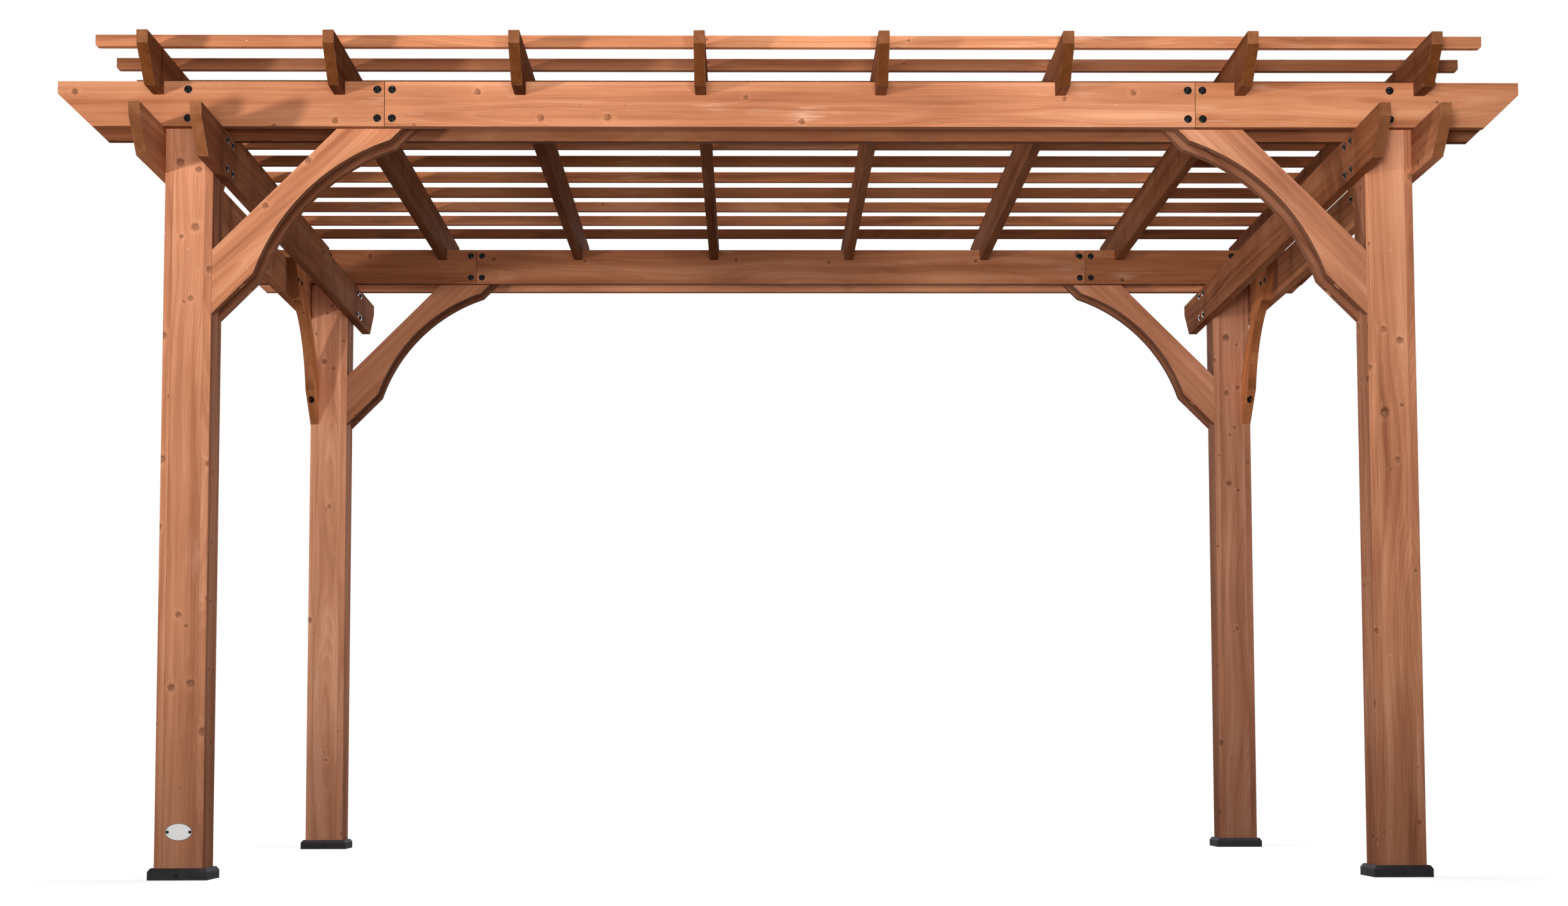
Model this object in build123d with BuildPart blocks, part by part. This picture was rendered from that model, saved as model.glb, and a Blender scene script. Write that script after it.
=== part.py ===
from build123d import *
from math import sqrt
import os

# A garden pergola in stained cedar: four box posts in black shoes, doubled beams, arched knee
# braces, notched rafters and open roof slats. Millimetres, +Z up. The origin is on the floor,
# midway between the four posts. X runs along the long beams and -Y is the front.

# layout, between post centres
post_span_x = 3514
post_span_y = 2430
beam_top = 2316         # top of the posts and of the long beams

# box posts
post_size = 140
post_ease = 2.5
seam_inset = 23         # from a post's edge to the seam between its boards
seam_width = 1.5
seam_depth = 1

# shoes under the posts
shoe_side = 15.25       # wall around the post
shoe_fit = 0.25
shoe_floor = 4
shoe_wall_height = 24
shoe_bevel_rise = 10
shoe_bevel_run = 7
shoe_ease = 1.5
screw_hole = 8          # bore in the middle of each shoe wall
screw_hole_depth = 8
screw_hole_height = 14

# sawn boards, used for beams, braces and rafters
board_thick = 32
board_depth = 133
board_ease = 2
end_upright = 37        # upright part of a cut board end
end_cut = 101           # how far the slanted part runs along the bottom

# how far each layer stands out past the post centres
long_overhang = 379
side_overhang = 385
rafter_overhang = 309
slat_end_overhang = 263
slat_row_overhang = 125

# long beam splices, over the brace tops
splice_inset = 11       # from the brace's outer top corner
splice_gap = 2

# knee braces at 45 degrees
brace_reach = 679       # from the beam top down the post, and as far along the beam
foot_cusp = 119         # where the scoop starts, from the post face
long_head_cusp = 165    # where it ends, below the top of a long brace
long_scoop = 66         # depth of the scoop
side_head_cusp = 134
side_scoop = 57
bolt_bore = 24
bolt_bore_height = 85   # above the brace's foot
bolt_seat = 35          # wood left between the bore's floor and the post

# rafters
rafter_count = 8
notch_depth = 40
notch_fit = 0.5

# roof slats
slat_count = 12
slats_in_group = 3
slat_thick = 26
slat_height = 35
slat_ease = 2
slat_end_round = 9

# oval badge plate on the front left post
badge_width = 77
badge_height = 49
badge_thick = 1.6
badge_ease = 0.5
badge_centre = 137      # above the floor

os.makedirs("parts", exist_ok=True)

sides = {"left": -1, "right": 1}
rows = {"front": -1, "back": 1}
corners = [(row, side) for row in rows for side in sides]

post_x = post_span_x / 2
post_y = post_span_y / 2
post_half = post_size / 2
board_off_post = post_half + board_thick / 2      # a board's middle, where it lies on a post
cheek_in_post = post_half - board_thick / 2       # a brace's middle, flush with a post face
side_beam_top = beam_top - board_depth
rafter_bottom = beam_top - notch_depth
slat_bottom = rafter_bottom + board_depth

brace_foot = beam_top - brace_reach
brace_width = board_depth * sqrt(2)               # a board's depth, measured level at 45 degrees
splice_x = post_x - post_half - (brace_reach - brace_width + splice_inset)


def board_outline(start, end, top, cut_start=True, cut_end=True):
    """Corners of a board on edge, its ends square or cut back underneath."""
    bottom = top - board_depth
    corner_points = [(start, top), (end, top)]
    if cut_end:
        corner_points += [(end, top - end_upright), (end - end_cut, bottom)]
    else:
        corner_points += [(end, bottom)]
    if cut_start:
        corner_points += [(start + end_cut, bottom), (start, top - end_upright)]
    else:
        corner_points += [(start, bottom)]
    return corner_points


def brace_corners(top, head_cusp):
    """Corners of a brace from its foot up and round to the scoop, level distance from the post first."""
    reach = top - brace_foot
    return [
        (foot_cusp, brace_foot + foot_cusp),
        (0, brace_foot),
        (0, brace_foot + brace_width),
        (reach - brace_width, top),
        (reach, top),
        (reach - head_cusp, top - head_cusp),
    ]


# Posts: four boards glued into a box, whose seams show as fine grooves on the front and back.
for row, side in corners:
    centre = (sides[side] * post_x, rows[row] * post_y)
    with BuildPart() as post:
        with BuildSketch(Plane.XY.offset(shoe_floor)):
            with Locations(centre):
                RectangleRounded(post_size, post_size, post_ease)
                with GridLocations(post_size - 2 * seam_inset, post_size, 2, 2):
                    Rectangle(seam_width, 2 * seam_depth, mode=Mode.SUBTRACT)
        extrude(amount=beam_top - shoe_floor)
    post.part.label = f"post_{row}_{side}"
    export_step(post.part, f"parts/{post.part.label}.step")

# Shoes: a socket around each post foot, bevelled on top, with a screw bore in each wall.
shoe_height = shoe_wall_height + shoe_bevel_rise
socket = post_size + 2 * shoe_fit
shoe_size = socket + 2 * shoe_side
for row, side in corners:
    centre = (sides[side] * post_x, rows[row] * post_y)
    with BuildPart() as shoe:
        with BuildSketch():
            with Locations(centre):
                Rectangle(shoe_size, shoe_size)
        extrude(amount=shoe_wall_height)
        with BuildSketch(Plane.XY.offset(shoe_wall_height)):
            with Locations(centre):
                Rectangle(shoe_size, shoe_size)
        with BuildSketch(Plane.XY.offset(shoe_height)):
            with Locations(centre):
                Rectangle(shoe_size - 2 * shoe_bevel_run, shoe_size - 2 * shoe_bevel_run)
        loft()
        upright = shoe.edges().filter_by(Axis.Z)
        sloping = shoe.edges().filter_by(lambda edge: abs(edge.tangent_at(0).Z) not in (0, 1))
        fillet(upright + sloping, radius=shoe_ease)
        with BuildSketch(Plane.XY.offset(shoe_floor)):
            with Locations(centre):
                RectangleRounded(socket, socket, post_ease)
        extrude(amount=shoe_height, mode=Mode.SUBTRACT)
        for outward in (Axis.X, -Axis.X, Axis.Y, -Axis.Y):
            wall = Plane((*centre, screw_hole_height), z_dir=outward.direction).offset(shoe_size / 2)
            with BuildSketch(wall):
                Circle(screw_hole / 2)
            extrude(amount=-screw_hole_depth, mode=Mode.SUBTRACT)
    shoe.part.label = f"shoe_{row}_{side}"
    export_step(shoe.part, f"parts/{shoe.part.label}.step")

# Long beams: a pair of boards on each row of posts, spliced over the tops of the braces.
beam_end = post_x + long_overhang
spans = {
    "left": (-beam_end, -splice_x - splice_gap / 2),
    "middle": (-splice_x + splice_gap / 2, splice_x - splice_gap / 2),
    "right": (splice_x + splice_gap / 2, beam_end),
}
for row in rows:
    for face, off_post in (("outer", board_off_post), ("inner", -board_off_post)):
        beam_y = rows[row] * (post_y + off_post)
        for span, (start, end) in spans.items():
            with BuildPart() as beam:
                with BuildSketch(Plane.XZ.offset(-beam_y)):
                    with BuildLine():
                        Polyline(
                            *board_outline(start, end, beam_top, span == "left", span == "right"),
                            close=True,
                        )
                    make_face()
                extrude(amount=board_thick / 2, both=True)
                fillet(beam.edges().filter_by(Axis.X), radius=board_ease)
            beam.part.label = f"{row}_beam_{face}_{span}"
            export_step(beam.part, f"parts/{beam.part.label}.step")

# Side beams: a pair of boards on each side of the posts, flush under the long beams.
for side in sides:
    for face, off_post in (("outer", board_off_post), ("inner", -board_off_post)):
        beam_x = sides[side] * (post_x + off_post)
        with BuildPart() as side_beam:
            with BuildSketch(Plane.YZ.offset(beam_x)):
                with BuildLine():
                    Polyline(
                        *board_outline(-post_y - side_overhang, post_y + side_overhang, side_beam_top),
                        close=True,
                    )
                make_face()
            extrude(amount=board_thick / 2, both=True)
            fillet(side_beam.edges().filter_by(Axis.Y), radius=board_ease)
        side_beam.part.label = f"side_beam_{side}_{face}"
        export_step(side_beam.part, f"parts/{side_beam.part.label}.step")

# Long braces: two cheeks between the boards of a long beam, flush with the post's front and back.
bore_floor = (bolt_seat, brace_foot + bolt_bore_height)
for row, side in corners:
    inward = -sides[side]
    with BuildPart() as long_brace:
        for cheek in (-cheek_in_post, cheek_in_post):
            at_post = (inward * (post_half - post_x), rows[row] * post_y + cheek, 0)
            outline = Plane(at_post, x_dir=(inward, 0, 0), z_dir=(0, -inward, 0))
            with BuildSketch(outline):
                with BuildLine():
                    rim = Polyline(*brace_corners(beam_top, long_head_cusp))
                    SagittaArc(rim @ 1, rim @ 0, -long_scoop)
                make_face()
            extrude(amount=board_thick / 2, both=True)
            with BuildSketch(Plane(outline.from_local_coords(bore_floor), z_dir=outline.x_dir)):
                Circle(bolt_bore / 2)
            extrude(amount=foot_cusp, mode=Mode.SUBTRACT)
    long_brace.part.label = f"long_brace_{row}_{side}"
    export_step(long_brace.part, f"parts/{long_brace.part.label}.step")

# Side braces: one board each, flush with the post's outer face and inside the outer side beam.
for row, side in corners:
    inward = -rows[row]
    with BuildPart() as side_brace:
        at_post = (sides[side] * (post_x + cheek_in_post), inward * (post_half - post_y), 0)
        outline = Plane(at_post, x_dir=(0, inward, 0), z_dir=(inward, 0, 0))
        with BuildSketch(outline):
            with BuildLine():
                rim = Polyline(*brace_corners(side_beam_top, side_head_cusp))
                SagittaArc(rim @ 1, rim @ 0, -side_scoop)
            make_face()
        extrude(amount=board_thick / 2, both=True)
        with BuildSketch(Plane(outline.from_local_coords(bore_floor), z_dir=outline.x_dir)):
            Circle(bolt_bore / 2)
        extrude(amount=foot_cusp, mode=Mode.SUBTRACT)
    side_brace.part.label = f"side_brace_{row}_{side}"
    export_step(side_brace.part, f"parts/{side_brace.part.label}.step")

# Rafters: boards on edge, let down over the beam boards, and over any brace top they cross.
outer_rafter_x = post_x + board_off_post
rafter_pitch = 2 * outer_rafter_x / (rafter_count - 1)
rafter_end = post_y + rafter_overhang
slot = board_thick + 2 * notch_fit
for number in range(1, rafter_count + 1):
    rafter_x = (number - 1) * rafter_pitch - outer_rafter_x
    off_post_face = post_x - post_half - abs(rafter_x)
    brace_start = brace_reach - brace_width - notch_depth - board_thick / 2
    over_brace = brace_start < off_post_face < brace_reach + board_thick / 2
    crossed = [board_off_post, cheek_in_post] if over_brace else [board_off_post]
    with BuildPart() as rafter:
        with BuildSketch(Plane.YZ.offset(rafter_x)):
            with BuildLine():
                Polyline(
                    *board_outline(-rafter_end, rafter_end, rafter_bottom + board_depth),
                    close=True,
                )
            make_face()
        extrude(amount=board_thick / 2, both=True)
        fillet(rafter.edges().filter_by(Axis.Y), radius=board_ease)
        with BuildSketch(Plane.YZ.offset(rafter_x)):
            for off_post in crossed:
                with Locations((-post_y, rafter_bottom), (post_y, rafter_bottom)):
                    with Locations((-off_post, 0), (off_post, 0)):
                        Rectangle(slot, 2 * notch_depth)
        extrude(amount=board_thick, both=True, mode=Mode.SUBTRACT)
    rafter.part.label = f"rafter_{number}"
    export_step(rafter.part, f"parts/{rafter.part.label}.step")

# Roof slats: square battens across the rafters, spread evenly from front to back.
slat_end = post_x + slat_end_overhang
slat_row_end = post_y + slat_row_overhang
slat_pitch = 2 * slat_row_end / (slat_count - 1)
for group in range(slat_count // slats_in_group):
    with BuildPart() as roof_slats:
        for place in range(group * slats_in_group, (group + 1) * slats_in_group):
            with BuildSketch(Plane.XZ.offset(slat_row_end - place * slat_pitch)):
                with Locations((0, slat_bottom + slat_height / 2)):
                    Rectangle(2 * slat_end, slat_height)
            extrude(amount=slat_thick / 2, both=True)
        lower_ends = roof_slats.edges().filter_by(Axis.Y).group_by(Axis.Z)[0]
        fillet(lower_ends, radius=slat_end_round)
        fillet(roof_slats.edges().filter_by(Axis.X), radius=slat_ease)
    roof_slats.part.label = f"roof_slats_{group + 1}"
    export_step(roof_slats.part, f"parts/{roof_slats.part.label}.step")

# Badge plate: a bare oval on the front of the front left post.
with BuildPart() as badge_plate:
    with BuildSketch(Plane.XZ.offset(post_y + post_half)):
        with Locations((-post_x, badge_centre)):
            Ellipse(badge_width / 2, badge_height / 2)
    extrude(amount=badge_thick)
    fillet(badge_plate.edges().group_by(Axis.Y)[0], radius=badge_ease)
badge_plate.part.label = "badge_plate"
export_step(badge_plate.part, f"parts/{badge_plate.part.label}.step")
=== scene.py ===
import bpy
import bmesh
import math
import random
from mathutils import Matrix, Vector


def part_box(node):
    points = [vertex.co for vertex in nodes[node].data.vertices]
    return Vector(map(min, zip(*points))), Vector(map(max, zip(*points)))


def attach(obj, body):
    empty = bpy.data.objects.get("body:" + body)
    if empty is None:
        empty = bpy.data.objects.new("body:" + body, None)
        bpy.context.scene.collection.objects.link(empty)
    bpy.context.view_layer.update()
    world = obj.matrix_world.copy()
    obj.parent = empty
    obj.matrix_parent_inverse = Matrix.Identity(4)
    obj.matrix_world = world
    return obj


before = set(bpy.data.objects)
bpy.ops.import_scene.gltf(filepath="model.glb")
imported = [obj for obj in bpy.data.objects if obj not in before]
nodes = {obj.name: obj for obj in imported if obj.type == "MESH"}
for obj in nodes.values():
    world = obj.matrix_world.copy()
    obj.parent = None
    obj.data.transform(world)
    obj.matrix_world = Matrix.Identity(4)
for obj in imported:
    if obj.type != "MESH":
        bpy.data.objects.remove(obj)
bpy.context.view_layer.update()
print("cad frame loaded,", len(nodes), "nodes")


# small helpers for node trees

def feed(tree, socket, value):
    if isinstance(value, bpy.types.NodeSocket):
        tree.links.new(value, socket)
    else:
        socket.default_value = value


def calc(tree, operation, *values, clamp=False):
    node = tree.nodes.new("ShaderNodeMath")
    node.operation = operation
    node.use_clamp = clamp
    for socket, value in zip(node.inputs, values):
        feed(tree, socket, value)
    return node.outputs[0]


def calcVector(tree, operation, *values):
    node = tree.nodes.new("ShaderNodeVectorMath")
    node.operation = operation
    for socket, value in zip(node.inputs, values):
        feed(tree, socket, value)
    return node.outputs["Value" if operation in ("LENGTH", "DOT_PRODUCT") else "Vector"]


def splitVector(tree, vector):
    node = tree.nodes.new("ShaderNodeSeparateXYZ")
    feed(tree, node.inputs[0], vector)
    return node.outputs[0], node.outputs[1], node.outputs[2]


def joinVector(tree, x, y, z=0.0):
    node = tree.nodes.new("ShaderNodeCombineXYZ")
    for socket, value in zip(node.inputs, (x, y, z)):
        feed(tree, socket, value)
    return node.outputs[0]


def noise(tree, vector, scale=1.0, detail=2.0, roughness=0.5):
    node = tree.nodes.new("ShaderNodeTexNoise")
    feed(tree, node.inputs["Vector"], vector)
    node.inputs["Scale"].default_value = scale
    node.inputs["Detail"].default_value = detail
    node.inputs["Roughness"].default_value = roughness
    return node.outputs["Fac"]


def spread(tree, value, low, high, toLow=0.0, toHigh=1.0):
    node = tree.nodes.new("ShaderNodeMapRange")
    node.interpolation_type = "SMOOTHSTEP"
    for name, given in (("Value", value), ("From Min", low), ("From Max", high),
                        ("To Min", toLow), ("To Max", toHigh)):
        feed(tree, node.inputs[name], given)
    return node.outputs["Result"]


def band(tree, value, rise, fall):
    # up from 0 to 1 over one range and down again over the other, which is given from its far end
    return calc(tree, "MULTIPLY", spread(tree, value, *fall), spread(tree, value, *rise))


def stretch(tree, parts, factors):
    # a place with a factor of its own in each direction
    return joinVector(tree, *[calc(tree, "MULTIPLY", part, factor) for part, factor in zip(parts, factors)])


def scaleWhere(tree, value, mask, factor):
    # the value, times the factor where the mask is 1
    change = calc(tree, "SUBTRACT", factor, 1.0)
    return calc(tree, "MULTIPLY", value, calc(tree, "MULTIPLY_ADD", mask, change, 1.0))


def opaque(color):
    return (*color, 1.0)


def mixColor(tree, amount, first, second):
    node = tree.nodes.new("ShaderNodeMix")
    node.data_type = "RGBA"
    feed(tree, node.inputs[0], amount)
    feed(tree, node.inputs[6], first)
    feed(tree, node.inputs[7], second)
    return node.outputs[2]


def ramp(tree, value, stops):
    node = tree.nodes.new("ShaderNodeValToRGB")
    feed(tree, node.inputs[0], value)
    elements = node.color_ramp.elements
    while len(elements) < len(stops):
        elements.new(0.5)
    for element, (place, color) in zip(elements, stops):
        element.position = place
        element.color = opaque(color)
    return node.outputs["Color"]


def newMaterial(name):
    material = bpy.data.materials.new(name)
    material.use_nodes = True
    tree = material.node_tree
    tree.nodes.clear()
    shader = tree.nodes.new("ShaderNodeBsdfPrincipled")
    output = tree.nodes.new("ShaderNodeOutputMaterial")
    tree.links.new(shader.outputs[0], output.inputs["Surface"])
    return material, tree, shader


def addBump(tree, shader, height, strength, distance):
    bump = tree.nodes.new("ShaderNodeBump")
    bump.inputs["Strength"].default_value = strength
    bump.inputs["Distance"].default_value = distance
    feed(tree, bump.inputs["Height"], height)
    tree.links.new(bump.outputs[0], shader.inputs["Normal"])


# stained cedar, one node group shared by all the boards

cedarLook = {
    # the stain on a face, from its darkest streaks to its lightest
    "dark": (0.30, 0.098, 0.043), "middle": (0.560, 0.219, 0.103), "light": (0.76, 0.350, 0.185),
    # on a slanted cut and on an upright sawn end
    "cutDark": (0.080, 0.023, 0.006), "cutLight": (0.20, 0.064, 0.019),
    "endDark": (0.14, 0.048, 0.018), "endLight": (0.33, 0.128, 0.056),
    "knotCore": (0.080, 0.028, 0.014), "knotHeart": (0.31, 0.125, 0.058), "knotRim": (0.30, 0.115, 0.055),
    # the next two pale colours: worn wood with painted sheen on faces, and worn wood with a painted
    # highlight on arrises
    "scuffSheen": (0.84, 0.52, 0.35), "edge": (0.80, 0.44, 0.25),
    "chipDark": (0.12, 0.050, 0.025), "chipLight": (0.80, 0.54, 0.37),
    # the powers of the tone in green and in blue, and how much pink lifts each
    "deepGreen": 1.10, "deepBlue": 1.12, "pinkGreen": 0.10, "pinkBlue": 0.30,
    # growth rings, how far their pith wanders, and how much they waver and swell round a knot
    "ringWidth": 0.0047, "pithWander": (0.09, -0.07), "ringRipple": 0.02, "ringSwell": 0.004,
    "knotSpacing": (0.19, 0.085, 0.047),   # along a board, across it, and across half a post
    "knotRadius": (0.0036, 0.0092), "knotWobble": 0.020, "knotNoise": 130.0,
    "pairStagger": 0.09, "pairUnlike": 0.8,
    "chipCells": (16.0, 40.0), "chipSize": 0.045, "chipShare": 0.11,
    # how much of the stain each mark hides
    "cover": {"scuffSheen": 0.5, "knotRim": 0.45, "knotCore": 0.78, "edge": 0.55, "seam": 0.30},
    "gapShade": 0.5,                        # the tone of the painted shade on the faces inside a brace's gap
    "edgeRadius": 0.0016,
    "seamHalf": (0.0011, 0.0003),          # from its middle to where a glue seam shows faintly and fully
    # how fine each pattern is along, across and through a board
    "drift": (0.55, 1.0, 1.0), "ripples": (0.9, 5.0, 5.0), "streaks": (0.55, 16.0, 16.0),
    "fibres": (5.0, 330.0, 330.0), "blotches": (2.2, 9.0, 9.0), "arrisPatches": (9.0, 40.0, 40.0),
    "endGrain": (90.0, 320.0, 320.0), "endPatches": (25.0, 45.0, 45.0),
    # along and across one face, and from face to face
    "smears": (3.4, 22.0, 1.0), "hairs": (8.0, 260.0, 1.0), "knotShape": (1.0, 1.6, 1.0),
    # how much each pattern lightens the stain, from its middle level, and a lift for all of it
    "level": 0.48,
    "weights": {"streaks": 1.45, "years": 0.80, "rings": -0.15,
                "fibres": 0.34, "blotches": 1.0, "halo": 0.10},
    "lift": 0.07,
    "endWeights": {"grain": 0.7, "patches": 0.7, "rings": -0.20},
    "gloss": 0.002, "bumpStrength": 0.35, "bumpHeight": 0.0012,
}


def makeCedarGroup():
    look, cover = cedarLook, cedarLook["cover"]
    tree = bpy.data.node_groups.new("stainedCedar", "ShaderNodeTree")
    for name, kind, value in (
            ("Move", "NodeSocketVector", (0, 0, 0)), ("Turn", "NodeSocketVector", (0, 0, 0)),
            ("Pith", "NodeSocketVector", (0, 0.05, 0.03)), ("Seam", "NodeSocketFloat", 10.0),
            ("Tone", "NodeSocketFloat", 1.0), ("Pink", "NodeSocketFloat", 0.0),
            ("Knots", "NodeSocketFloat", 0.3), ("Pairs", "NodeSocketFloat", 0.0),
            ("Scuffsheen", "NodeSocketFloat", 0.5), ("Ends", "NodeSocketFloat", 1.0),
            ("Soak", "NodeSocketFloat", 1.0), ("Edges", "NodeSocketFloat", 1.0),
            ("Toplight", "NodeSocketFloat", 1.0), ("Inside", "NodeSocketFloat", 0.0),
            ("Footshade", "NodeSocketFloat", 0.0), ("Step", "NodeSocketFloat", 10.0),
            ("Uneven", "NodeSocketFloat", 0.0)):
        tree.interface.new_socket(name, in_out="INPUT", socket_type=kind).default_value = value
    for name, kind in (("Color", "NodeSocketColor"), ("Roughness", "NodeSocketFloat"),
                       ("Height", "NodeSocketFloat")):
        tree.interface.new_socket(name, in_out="OUTPUT", socket_type=kind)
    given = tree.nodes.new("NodeGroupInput").outputs
    result = tree.nodes.new("NodeGroupOutput").inputs

    # x runs along the grain, y and z across it
    coords = tree.nodes.new("ShaderNodeTexCoord")
    place = tree.nodes.new("ShaderNodeMapping")
    facing = tree.nodes.new("ShaderNodeMapping")
    facing.vector_type = "NORMAL"
    tree.links.new(coords.outputs["Object"], place.inputs["Vector"])
    tree.links.new(coords.outputs["Normal"], facing.inputs["Vector"])
    for node in (place, facing):
        tree.links.new(given["Turn"], node.inputs["Rotation"])
    tree.links.new(given["Move"], place.inputs["Location"])
    along, wide, deep = splitVector(tree, place.outputs[0])
    tilts = splitVector(tree, facing.outputs[0])
    endTilt, wideTilt, deepTilt = (calc(tree, "ABSOLUTE", tilt) for tilt in tilts)

    # a box post's side boards, past the seams, have their own grain
    strip = calc(tree, "GREATER_THAN", calc(tree, "ABSOLUTE", deep), given["Seam"])
    stripSign = calc(tree, "MULTIPLY", strip, calc(tree, "SIGN", deep))
    along = calc(tree, "MULTIPLY_ADD", stripSign, 3.7, along)
    wide = calc(tree, "MULTIPLY_ADD", stripSign, 0.083, wide)
    board = (along, wide, deep)

    # which face this is, and the direction across it
    onWide = calc(tree, "GREATER_THAN", wideTilt, deepTilt)
    across = calc(tree, "ADD", calc(tree, "MULTIPLY", onWide, deep),
                  calc(tree, "MULTIPLY", calc(tree, "SUBTRACT", 1.0, onWide), wide))
    wideShift = calc(tree, "MULTIPLY_ADD", calc(tree, "SIGN", tilts[1]), 2.3, 5.1)
    faceShift = calc(tree, "MULTIPLY_ADD", onWide, wideShift, 1.7)   # each face has knots of its own
    onFace = (along, across, faceShift)

    # knots, one in some of the cells of each face; a post has them in pairs, left and right of its middle
    spacing = look["knotSpacing"]
    half = calc(tree, "SIGN", across)
    rowWidth = calc(tree, "MULTIPLY_ADD", given["Pairs"], spacing[2] - spacing[1], spacing[1])
    paired = calc(tree, "ADD", calc(tree, "MULTIPLY", calc(tree, "ABSOLUTE", across), given["Pairs"]),
                  calc(tree, "MULTIPLY", across, calc(tree, "SUBTRACT", 1.0, given["Pairs"])))
    pairHalf = calc(tree, "MULTIPLY", half, given["Pairs"])
    sway = calc(tree, "SINE", calc(tree, "MULTIPLY", along, 9.0))
    stagger = calc(tree, "MULTIPLY", pairHalf, calc(tree, "MULTIPLY", sway, look["pairStagger"]))
    cellAlong = calc(tree, "ADD", calc(tree, "MULTIPLY_ADD", along, 1 / spacing[0], faceShift), stagger)
    cellAcross = calc(tree, "MULTIPLY_ADD", faceShift, 10.0, calc(tree, "DIVIDE", paired, rowWidth))
    cell = joinVector(tree, cellAlong, cellAcross)
    knots = tree.nodes.new("ShaderNodeTexVoronoi")
    knots.voronoi_dimensions = "2D"
    knots.inputs["Scale"].default_value = 1.0
    knots.inputs["Randomness"].default_value = 0.6
    tree.links.new(cell, knots.inputs["Vector"])
    apart = calcVector(tree, "SUBTRACT", cell, knots.outputs["Position"])
    apart = calcVector(tree, "MULTIPLY", apart, joinVector(tree, spacing[0], rowWidth))
    wobble = noise(tree, stretch(tree, onFace, look["knotShape"]), look["knotNoise"], 4.0, 0.65)
    uneven = calc(tree, "MULTIPLY_ADD", wobble, look["knotWobble"], -look["knotWobble"] / 2)
    reach = calc(tree, "ADD", calcVector(tree, "LENGTH", apart), uneven)
    chance, size, shade = splitVector(tree, knots.outputs["Color"])
    shown = calc(tree, "MULTIPLY", calc(tree, "LESS_THAN", chance, given["Knots"]),
                 calc(tree, "LESS_THAN", endTilt, 0.5))
    smallest, largest = look["knotRadius"]
    radius = calc(tree, "MULTIPLY_ADD", size, largest - smallest, smallest)
    unlike = calc(tree, "MULTIPLY_ADD", shade, look["pairUnlike"], -look["pairUnlike"] / 2)
    radius = calc(tree, "MULTIPLY", radius, calc(tree, "MULTIPLY_ADD", pairHalf, unlike, 1.0))
    nearness = calc(tree, "DIVIDE", reach, radius)
    core = calc(tree, "MULTIPLY", spread(tree, nearness, 1.25, 0.55), shown)
    rim = calc(tree, "MULTIPLY", band(tree, nearness, (0.6, 0.9), (1.7, 1.05)), shown)
    halo = calc(tree, "MULTIPLY", band(tree, nearness, (1.0, 1.6), (3.2, 1.6)), shown)
    swell = calc(tree, "MULTIPLY", spread(tree, nearness, 5.0, 0.5), shown)

    # growth rings round a pith that wanders beside the board
    pith = splitVector(tree, given["Pith"])
    drift = noise(tree, stretch(tree, board, look["drift"]), 1.6, 1.0)
    ripple = noise(tree, stretch(tree, board, look["ripples"]), 2.2, 2.0)
    wander = look["pithWander"]
    fromPithY = calc(tree, "SUBTRACT", wide, calc(tree, "MULTIPLY_ADD", drift, wander[0], pith[1]))
    fromPithZ = calc(tree, "SUBTRACT", deep, calc(tree, "MULTIPLY_ADD", drift, wander[1], pith[2]))
    ringRadius = calcVector(tree, "LENGTH", joinVector(tree, 0.0, fromPithY, fromPithZ))
    ringRadius = calc(tree, "MULTIPLY_ADD", ripple, look["ringRipple"], ringRadius)
    ringRadius = calc(tree, "MULTIPLY_ADD", swell, look["ringSwell"], ringRadius)
    turns = calc(tree, "DIVIDE", ringRadius, look["ringWidth"])
    ring = band(tree, calc(tree, "FRACT", turns), (0.0, 0.75), (1.0, 0.86))
    years = noise(tree, stretch(tree, (turns, along), (1.0, 0.3)), 0.35, 1.0)

    # streaks, fibres and uneven stain
    streaks = noise(tree, stretch(tree, board, look["streaks"]), 1.0, 3.0, 0.6)
    fibres = noise(tree, stretch(tree, board, look["fibres"]), 1.0, 2.0, 0.55)
    blotches = noise(tree, stretch(tree, board, look["blotches"]), 1.0, 3.0, 0.55)
    ringZone = spread(tree, blotches, 0.35, 0.62, 0.25, 1.0)
    patterns = {
        "streaks": calc(tree, "SUBTRACT", streaks, 0.5),
        "years": calc(tree, "SUBTRACT", years, 0.5),
        "rings": calc(tree, "MULTIPLY", ring, ringZone),
        "fibres": calc(tree, "SUBTRACT", fibres, 0.5),
        "blotches": calc(tree, "SUBTRACT", blotches, 0.5),
        "halo": halo,
    }
    value = look["level"]
    for name, pattern in patterns.items():
        value = calc(tree, "MULTIPLY_ADD", pattern, look["weights"][name], value)
    value = calc(tree, "ADD", value, look["lift"], clamp=True)
    face = ramp(tree, value, [(0.0, look["dark"]), (0.5, look["middle"]), (1.0, look["light"])])
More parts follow.
